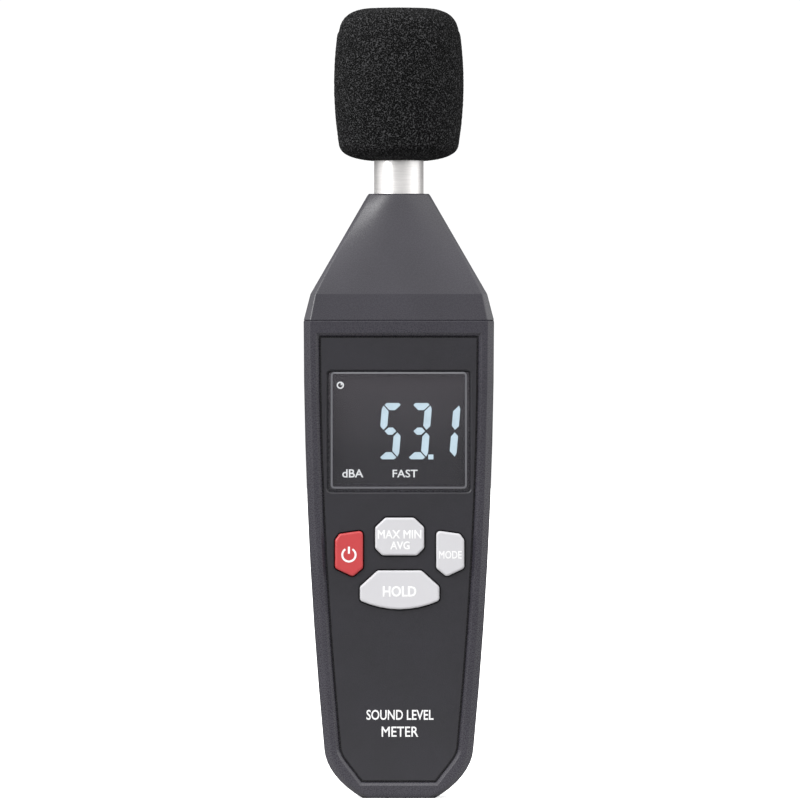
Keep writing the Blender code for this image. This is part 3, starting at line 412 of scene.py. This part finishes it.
def sharpen_folds(mesh):
    """Keeps a crisp fold along the edges that lie at one of the folds' heights."""
    for edge in mesh.edges:
        heights = [mesh.vertices[index].co.z for index in edge.vertices]
        if any(all(abs(z - fold) < WELD for z in heights) for fold in FOLD_HEIGHTS):
            edge.use_edge_sharp = True


def outside_corners(mesh):
    """The corners above the foot on the case's sides, which face away from its middle line."""
    corners = set()
    for face in mesh.polygons:
        for index in face.vertices:
            point = mesh.vertices[index].co
            middle = Vector((0.0, point.y, min(max(point.z, AXIS_LOW_Z), AXIS_HIGH_Z)))
            outward = abs(face.normal.y) < SIDE_FACING and face.normal.dot(point - middle) > 0
            if outward and point.z > GROOVE_LOW_Z:
                corners.add(index)
    return corners


def close_seam(mesh, old_y, new_y, groove=0.0):
    """Moves the flat face at old_y to new_y, so that the gap beside it reads as a hairline.

    With a groove, the corners on the outside of the case stop that far short of new_y.
    """
    outside = outside_corners(mesh)
    for index, vert in enumerate(mesh.vertices):
        if abs(vert.co.y - old_y) < WELD:
            vert.co.y = new_y + math.copysign(groove, old_y) * (index in outside)


def refine(node, edge=0.0, segments=2, seam=None):
    """Stands for a CAD node with the same shape, its sharp edges broken and round faces smooth."""
    obj = welded_copy(node, node + "_fine")
    if seam:
        close_seam(obj.data, *seam)
    if edge:
        break_edges(obj, edge, segments)
    obj.data.shade_smooth()
    obj.data.set_sharp_from_angle(angle=math.radians(ROUND_ANGLE))
    sharpen_folds(obj.data)
    weigh = obj.modifiers.new("flat_faces", "WEIGHTED_NORMAL")
    weigh.keep_sharp = True
    return show_instead(node, obj)


def refine_case():
    """The case's two halves, the door in its back and the plate in its front."""
    refine("front_case", CASE_EDGE, seam=(-PARTING, 0.0, GROOVE))
    refine("rear_case", CASE_EDGE, seam=(PARTING, 0.0, GROOVE))
    refine("battery_door", DOOR_EDGE, seam=(DOOR_INNER_Y, DOOR_SEAT_Y + DOOR_GAP))
    refine("face_plate", CASE_EDGE)


def refine_window():
    """The lens, whose bevel round the raised middle is painted lighter, a painted highlight for the light it
    catches.
    """
    window = refine("display_window", LENS_EDGE, segments=1)
    window.data.materials.append(LENS_BEVEL_HIGHLIGHT_LOOK)
    least, most = LENS_BEVEL_FACING
    for face in window.data.polygons:
        on_bevel = LENS_FRONT_Y + LENS_TOLERANCE < face.center.y < LENS_RIM_Y - LENS_TOLERANCE
        if on_bevel and least < -face.normal.y < most:
            face.material_index = 1


def refine_button(node):
    """A key cap whose deep sides get painted shade, so that the gap round it reads dark."""
    cap = refine(node)
    cap.data.materials.append(KEY_GAP_SHADE_LOOKS[SLOT_OF[node]])
    # Faces deeper than the plate's front get the painted shade
    for face in cap.data.polygons:
        if face.center.y > PANEL_FRONT + KEY_SHADE_DEPTH:
            face.material_index = 1


def refine_small_pieces():
    """The metal pieces, the screws in the back, and the cells and springs behind the door."""
    for node in ("mic_tube", "mic_grille", "mic_capsule", "tripod_bush"):
        refine(node, METAL_EDGE, segments=1)
    for number in range(1, CASE_SCREWS + 1):
        refine(f"case_screw_{number}")
    for number in range(1, BATTERIES + 1):
        refine(f"battery_{number}")
        refine(f"battery_spring_{number}")


def dress_cad_nodes():
    """Gives every CAD solid its slot's look. Those inside the case are shown as they are."""
    for name, node in NODES.items():
        set_look(node, LOOKS[SLOT_OF[name]])


# ---- Windscreen ----

FOAM_ROWS = 240
FOAM_COLUMNS = 400

# The foam's profile in (radius, z), the CAD solid's own: a dome, a crown, a barrel, a foot and a bore
CROWN_CURVE = ((0.0080, 0.20265), (0.0132, 0.2022), (0.0149, 0.1998), (0.01535, 0.1968))
FOOT_CURVE = ((0.01535, 0.1677), (0.0150, 0.1656), (0.0130, 0.1642), (0.0072, 0.1636))
BARREL_RADIUS = 0.0166
BARREL_MIDDLE_Z = 0.1833
BARREL_BOW = 5.2
DOME_TOP_Z = 0.2028
DOME_DROP = 0.00015
DOME_RADIUS = 0.008
DOME_SPAN = (0.0001, 0.0078)
BORE_RADIUS = 0.00665
BORE_SPAN = (0.1638, 0.1924)
DOME_POINTS = 12
CROWN_STEPS = 24
BARREL_POINTS = 42
FOOT_STEPS = 20
BORE_POINTS = 12

# Pits: the foam's cells, the sharpness of the struts between them, and a finer roughness
FOAM_CELL = 0.00060
FOAM_PIT = 0.00022
STRUT_SHARPNESS = 2.2
STRUT_POWER = 0.7
STRUT_SHARE = 0.75
ROUGH_SIZE = 0.00045
ROUGH_SHARE = 0.125
MEAN_PIT_SHARE = 0.45


def bezier(points, steps):
    """Points along the cubic curve with these four control points."""
    rows = []
    for step in range(steps + 1):
        t = step / steps
        weights = ((1 - t) ** 3, 3 * t * (1 - t) ** 2, 3 * t * t * (1 - t), t**3)
        rows.append(sum(w * np.array(p) for w, p in zip(weights, points)))
    return rows


def foam_profile():
    """(radius, z) from the top's middle, down the foam's outer side and up its bore."""
    dome = [
        np.array((radius, DOME_TOP_Z - DOME_DROP * (radius / DOME_RADIUS) ** 2))
        for radius in np.linspace(*DOME_SPAN, DOME_POINTS)
    ]
    barrel = [
        np.array((BARREL_RADIUS - BARREL_BOW * (z - BARREL_MIDDLE_Z) ** 2, z))
        for z in np.linspace(CROWN_CURVE[-1][1], FOOT_CURVE[0][1], BARREL_POINTS)[1:-1]
    ]
    bore = [np.array((BORE_RADIUS, z)) for z in np.linspace(*BORE_SPAN, BORE_POINTS)]
    crown = bezier(CROWN_CURVE, CROWN_STEPS)
    foot = bezier(FOOT_CURVE, FOOT_STEPS)
    return np.array(dome + crown + barrel + foot + bore)


def even_rows(profile, count):
    """The profile again, as count points an even distance apart, and its outward normals."""
    lengths = np.concatenate([[0.0], np.cumsum(np.linalg.norm(np.diff(profile, axis=0), axis=1))])
    wanted = np.linspace(0.0, lengths[-1], count)
    points = np.stack([np.interp(wanted, lengths, profile[:, axis]) for axis in range(2)], axis=1)
    along = np.gradient(points, axis=0)
    along /= np.linalg.norm(along, axis=1)[:, None]
    return points, np.stack([-along[:, 1], along[:, 0]], axis=1)


def foam_pit(point):
    """How far in the surface lies at a point, from its mean: rounded pits between thin struts."""
    near = noise.voronoi(point / FOAM_CELL)[0]
    strut = min(1.0, max(0.0, (near[1] - near[0]) * STRUT_SHARPNESS))
    rough = noise.noise(point / ROUGH_SIZE)
    depth = strut**STRUT_POWER * STRUT_SHARE + ROUGH_SHARE * rough
    return FOAM_PIT * depth - FOAM_PIT * MEAN_PIT_SHARE


def make_windscreen():
    """The foam barrel: its profile turned round the tube, pitted all over and closed at both ends."""
    verts = []
    for (radius, z), (out_r, out_z) in zip(*even_rows(foam_profile(), FOAM_ROWS)):
        for column in range(FOAM_COLUMNS):
            angle = 2 * math.pi * column / FOAM_COLUMNS
            side = Vector((math.cos(angle), math.sin(angle), 0.0))
            point = side * radius + Vector((0.0, 0.0, z))
            verts.append(point - (side * out_r + Vector((0.0, 0.0, out_z))) * foam_pit(point))
    faces = []
    for row in range(FOAM_ROWS - 1):
        low, high = row * FOAM_COLUMNS, (row + 1) * FOAM_COLUMNS
        for column in range(FOAM_COLUMNS):
            after = (column + 1) % FOAM_COLUMNS
            faces.append((low + column, high + column, high + after, low + after))
    last = (FOAM_ROWS - 1) * FOAM_COLUMNS
    faces.append(tuple(range(FOAM_COLUMNS)))
    faces.append(tuple(last + column for column in reversed(range(FOAM_COLUMNS))))
    mesh = solid_mesh("windscreen_foam", verts, faces)
    mesh.shade_smooth()
    foam = show_instead("windscreen", new_object("windscreen_foam", mesh))


# ---- Marks: print, labels and display segments ----


def flat_piece(name, outlines, front_y, thickness, look, node):
    """Thin solids facing -Y, one from each (x, z) outline, riding with a node."""
    verts, faces = [], []
    for outline in outlines:
        first, count = len(verts), len(outline)
        front = list(range(first, first + count))
        back = list(range(first + count, first + 2 * count))
        verts += [(x, front_y, z) for x, z in outline]
        verts += [(x, front_y + thickness, z) for x, z in outline]
        faces += [front, back[::-1]]
        for index in range(count):
            after = (index + 1) % count
            faces.append((front[after], front[index], back[index], back[after]))
    return add_to(node, new_object(name, solid_mesh(name, verts, faces)), look)


def text_mesh(name, text, weight):
    """Words as solid letters of any size, made bolder by their weight."""
    curve = bpy.data.curves.new(name, "FONT")
    curve.body = text
    curve.bevel_depth = weight
    curve.bevel_resolution = 0
    curve.extrude = 0.5
    curve.resolution_u = 3
    holder = new_object(name, curve)
    bpy.context.view_layer.update()
    mesh = evaluated_mesh(holder)
    bpy.data.objects.remove(holder)
    return mesh


def lettering(name, text, node, centre, size, weight, look, lift=0.0):
    """Words on a node's front, half sunk in it unless lifted. size is (width, height) of their box."""
    mesh = text_mesh(name, text, weight)
    corners = np.array([vert.co for vert in mesh.vertices])
    low, high = corners.min(0), corners.max(0)
    middle = (low + high) / 2
    spread = high - low
    fit = np.array((size[0] / spread[0], size[1] / spread[1], 2 * INK))
    front_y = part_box(node)[0].y - lift
    for vert in mesh.vertices:
        x, up, out = (np.array(vert.co) - middle) * fit
        vert.co = (centre[0] + x, front_y - out, centre[1] + up)
    close_mesh(mesh, PRINT_WELD)
    return add_to(node, new_object(name, mesh), look)


def arc(centre, radius, start, end, steps):
    """Points on a circle from one angle to another, in degrees."""
    points = []
    for step in range(steps + 1):
        angle = math.radians(start + (end - start) * step / steps)
        points.append((centre[0] + radius * math.cos(angle), centre[1] + radius * math.sin(angle)))
    return points


def ring_part(centre, radius, width, start, end, steps):
    """The outline of a ring's stretch from one angle to another."""
    outer = arc(centre, radius + width / 2, start, end, steps)
    inner = arc(centre, radius - width / 2, start, end, steps)
    return outer + inner[::-1]


def bar(low, high, origin=(0.0, 0.0)):
    """An upright rectangle from its low left to its high right corner, both measured from origin."""
    left, foot = origin[0] + low[0], origin[1] + low[1]
    right, top = origin[0] + high[0], origin[1] + high[1]
    return [(left, foot), (right, foot), (right, top), (left, top)]


# Seven segments: a top, b and c right, d foot, e and f left, g middle
DIGIT_SEGMENTS = {"5": "afgcd", "3": "abgcd", "1": "bc"}
DIGIT_LEFTS = (("5", -0.00488), ("3", 0.00251), ("1", 0.00984))
DIGIT_MIDDLE_Z = 0.09408
DIGIT_SLANT = 0.085
SEGMENT_INSET = 0.00005
DECIMAL_POINT = ((0.00755, 0.08684), (0.00886, 0.08808))

# The digit's width and one segment of each kind, in millimetres from its left side and its middle
MM_PER_METRE = 1000
DIGIT_WIDTH_MM = 5.46
UPRIGHT = ((0.0, 1.21), (0.95, 0.29), (1.84, 1.35), (1.84, 5.14), (0.41, 6.59), (0.0, 5.67))
TOP_BAR = ((0.61, 6.72), (1.96, 5.35), (3.50, 5.35), (4.85, 6.72), (4.32, 7.24), (1.14, 7.24))
MIDDLE_BAR = ((1.18, 0.0), (2.15, -0.96), (3.31, -0.96), (4.28, 0.0), (3.31, 0.96), (2.15, 0.96))

# For each segment: its kind, and whether it is mirrored to the right side and to the lower half
SEGMENTS = {
    "a": (TOP_BAR, False, False),
    "b": (UPRIGHT, True, False),
    "c": (UPRIGHT, True, True),
    "d": (TOP_BAR, False, True),
    "e": (UPRIGHT, False, True),
    "f": (UPRIGHT, False, False),
    "g": (MIDDLE_BAR, False, False),
}

# The timer sign is a ring in two halves, which don't quite meet, and a hand from its middle
TIMER_CENTRE = (-0.0150, 0.10585)
TIMER_RADIUS = 0.00076
TIMER_LINE = 0.00034
TIMER_HALF_TURN = 179.5
TIMER_STEPS = 16
TIMER_HAND = ((0.0001, 0.0), (0.0004, 0.0006))

# The power sign is a ring open at its top, between these angles, and an upright stroke
POWER_CENTRE = (-0.01278, 0.0624)
POWER_RADIUS = 0.0017
POWER_LINE = 0.00050
POWER_RING = (122, 418)
POWER_STEPS = 30
POWER_STROKE = ((-0.00026, 0.0003), (0.00026, 0.0021))

# Words as name, text, node, middle, size and weight
DISPLAY_WORDS = (
    ("display_unit", "dBA", "lcd_glass", (-0.0118, 0.08325), (0.0054, 0.0021), 0.012),
    ("display_speed", "FAST", "lcd_glass", (0.0016, 0.0832), (0.0064, 0.0020), 0.012),
)
PRINTED_WORDS = (
    ("max_min_label", "MAX MIN", "max_min_button", (0.0002, 0.06765), (0.0112, 0.0022), 0.022),
    ("average_label", "AVG", "max_min_button", (0.0003, 0.0648), (0.0050, 0.0021), 0.024),
    ("mode_label", "MODE", "mode_button", (0.0132, 0.0624), (0.0058, 0.0020), 0.018),
    ("hold_label", "HOLD", "hold_button", (0.0002, 0.0530), (0.0086, 0.0028), 0.030),
    ("name_print", "SOUND LEVEL", "face_plate", (0.0003, 0.0214), (0.0172, 0.0026), 0.014),
    ("kind_print", "METER", "face_plate", (0.0003, 0.0171), (0.0094, 0.0026), 0.010),
)


def shrunk(outline, distance):
    """The outline with each corner moved towards its middle."""
    middle = np.mean(outline, axis=0)
    inward = middle - np.array(outline)
    lengths = np.linalg.norm(inward, axis=1)[:, None]
    return [tuple(point) for point in np.array(outline) + inward / lengths * distance]


def segment_outlines(digit, left):
    """The lit segments of one slanted digit, whose left side is at x = left."""
    outlines = []
    for key in DIGIT_SEGMENTS[digit]:
        points, on_right, below = SEGMENTS[key]
        outline = []
        for x, z in points:
            side = DIGIT_WIDTH_MM - x if on_right else x
            height = -z if below else z
            slanted = left + (side + height * DIGIT_SLANT) / MM_PER_METRE
            outline.append((slanted, DIGIT_MIDDLE_Z + height / MM_PER_METRE))
        outlines.append(shrunk(outline, SEGMENT_INSET))
    return outlines


def make_display():
    """The reading, the timer sign and the two words, all lit on the display's glass."""
    front_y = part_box("lcd_glass")[0].y - INK
    reading = []
    for digit, left in DIGIT_LEFTS:
        reading += segment_outlines(digit, left)
    reading.append(bar(*DECIMAL_POINT))
    flat_piece("display_segments", reading, front_y, INK, SEGMENT_LOOK, "lcd_glass")
    timer = [
        ring_part(TIMER_CENTRE, TIMER_RADIUS, TIMER_LINE, start, start + TIMER_HALF_TURN, TIMER_STEPS)
        for start in (0, 180)
    ]
    timer.append(bar(*TIMER_HAND, TIMER_CENTRE))
    flat_piece("display_timer", timer, front_y, INK, SIGN_LOOK, "lcd_glass")
    for words in DISPLAY_WORDS:
        lettering(*words, SIGN_LOOK, lift=INK)


def make_print():
    """The white print on the keys and on the face plate."""
    front_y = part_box("power_button")[0].y - INK
    sign = [
        ring_part(POWER_CENTRE, POWER_RADIUS, POWER_LINE, *POWER_RING, POWER_STEPS),
        bar(*POWER_STROKE, POWER_CENTRE),
    ]
    flat_piece("power_icon", sign, front_y, 2 * INK, PRINT_LOOK, "power_button")
    for words in PRINTED_WORDS:
        lettering(*words, PRINT_LOOK)


# ---- Studio ----

WHITE = (1.0, 1.0, 1.0, 1.0)

# The studio's light rises with height, is added to beside the meter and cut down behind it. Each
# band is where one level passes into the next, in z or y of the direction it comes from
LOW_LEVEL = 0.30
HIGH_LEVEL = 1.50
HEIGHT_BAND = (-0.06, 0.26)
SIDE_LEVEL = 0.74
SIDE_BAND = (-0.97, -0.65)
BACK_SHARE = 0.20
BACK_BAND = (0.1, 0.6)
BACKDROP_LEVEL = 1.05

# Just over the meter's foot, so that a door slid out to its limit is wholly below the floor
FLOOR_Z = 0.00003
FLOOR_REACH = 12.0
FLOOR_COLOUR = (0.93, 0.93, 0.93)
FLOOR_GLOW = 0.55

# How much light the floor sends back up, near the meter and far from it, and where that changes
FLOOR_NEAR = 0.56
FLOOR_FAR = 0.22
FLOOR_BAND = (0.02, 0.26)

# Soft boxes, as name, place, size and power, all turned towards the meter's middle
SOFT_BOXES = (
    ("left_box", (-0.56, -0.42, 0.42), (0.40, 0.50), 4.6),
    ("right_box", (0.62, -0.10, 0.14), (0.60, 0.80), 1.2),
    ("top_box", (-0.05, -0.05, 0.85), (0.40, 0.40), 1.0),
)
LIGHT_TARGET = (0.0, 0.0, 0.10)


def make_camera():
    """A level camera, as far off as its long lens needs for the view's width."""
    camera = bpy.data.cameras.new("camera")
    camera.lens = CAMERA_LENS
    camera.sensor_width = SENSOR
    camera.clip_end = CLIP_END
    obj = new_object("camera", camera)
    distance = VIEW_WIDTH * CAMERA_LENS / SENSOR
    obj.location = (VIEW_CENTRE[0], -distance, VIEW_CENTRE[1])
    obj.rotation_euler = (math.radians(90), 0.0, 0.0)
    bpy.context.scene.camera = obj


def soft_box(name, location, size, power):
    """A rectangular light turned towards the meter."""
    light = bpy.data.lights.new(name, "AREA")
    light.shape = "RECTANGLE"
    light.size, light.size_y = size
    light.energy = power
    obj = new_object(name, light)
    obj.location = location
    direction = Vector(LIGHT_TARGET) - Vector(location)
    obj.rotation_euler = direction.to_track_quat("-Z", "Y").to_euler()


def make_world():
    """A white studio: what lights the meter is dimmer in front and behind, and brighter above."""
    world = bpy.data.worlds.new("studio")
    bpy.context.scene.world = world
    world.use_nodes = True
    tree = world.node_tree
    background = tree.nodes["Background"]
    background.inputs["Color"].default_value = WHITE
    place = add_node(tree, "TexCoord").outputs["Generated"]
    direction = add_node(tree, "SeparateXYZ", {"Vector": place}).outputs
    height = ramp(tree, direction["Z"], LOW_LEVEL, HIGH_LEVEL, *HEIGHT_BAND, "SMOOTHSTEP")
    sides = ramp(tree, direction["Y"], 0.0, SIDE_LEVEL, *SIDE_BAND, "SMOOTHSTEP")
    to_back = ramp(tree, direction["Y"], 1.0, BACK_SHARE, *BACK_BAND, "SMOOTHSTEP")
    level = combine(tree, "MULTIPLY", combine(tree, "ADD", height, sides), to_back)
    seen = add_node(tree, "LightPath").outputs["Is Camera Ray"]
    strength = add_node(tree, "Mix", {"Factor": seen, "A": level, "B": BACKDROP_LEVEL})
    tree.links.new(strength.outputs["Result"], background.inputs["Strength"])


def floor_look():
    """White to the camera. The light it sends to the meter is dimmer, and fades with distance."""
    look = new_material(
        "floor_look",
        FLOOR_COLOUR,
        roughness=0.9,
        Specular_IOR_Level=0.0,
        Emission_Color=WHITE,
        Emission_Strength=FLOOR_GLOW,
    )
    tree = look.node_tree
    place = add_node(tree, "TexCoord").outputs["Object"]
    distance = add_node(tree, "VectorMath", {0: place}, operation="LENGTH").outputs["Value"]
    fade = ramp(tree, distance, FLOOR_NEAR, FLOOR_FAR, *FLOOR_BAND, "SMOOTHSTEP")
    dim = add_node(tree, "BsdfDiffuse", {"Color": fade}).outputs["BSDF"]
    white = tree.nodes["Principled BSDF"].outputs["BSDF"]
    seen = add_node(tree, "LightPath").outputs["Is Camera Ray"]
    choice = add_node(tree, "MixShader", {"Fac": seen, 1: dim, 2: white})
    tree.links.new(choice.outputs["Shader"], tree.nodes["Material Output"].inputs["Surface"])
    return look


def make_floor():
    bm = bmesh.new()
    bmesh.ops.create_grid(bm, x_segments=1, y_segments=1, size=FLOOR_REACH)
    mesh = bpy.data.meshes.new("floor")
    bm.to_mesh(mesh)
    bm.free()
    floor = new_object("floor", mesh)
    floor.location.z = FLOOR_Z
    set_look(floor, floor_look())


def make_studio():
    make_camera()
    make_world()
    make_floor()
    for box in SOFT_BOXES:
        soft_box(*box)
    view = bpy.context.scene.view_settings
    view.view_transform = "Standard"
    view.look = "None"


make_studio()
dress_cad_nodes()
refine_case()
refine_window()
for key in ("power", "max_min", "mode", "hold"):
    refine_button(key + "_button")
refine_small_pieces()
make_windscreen()
make_display()
make_print()
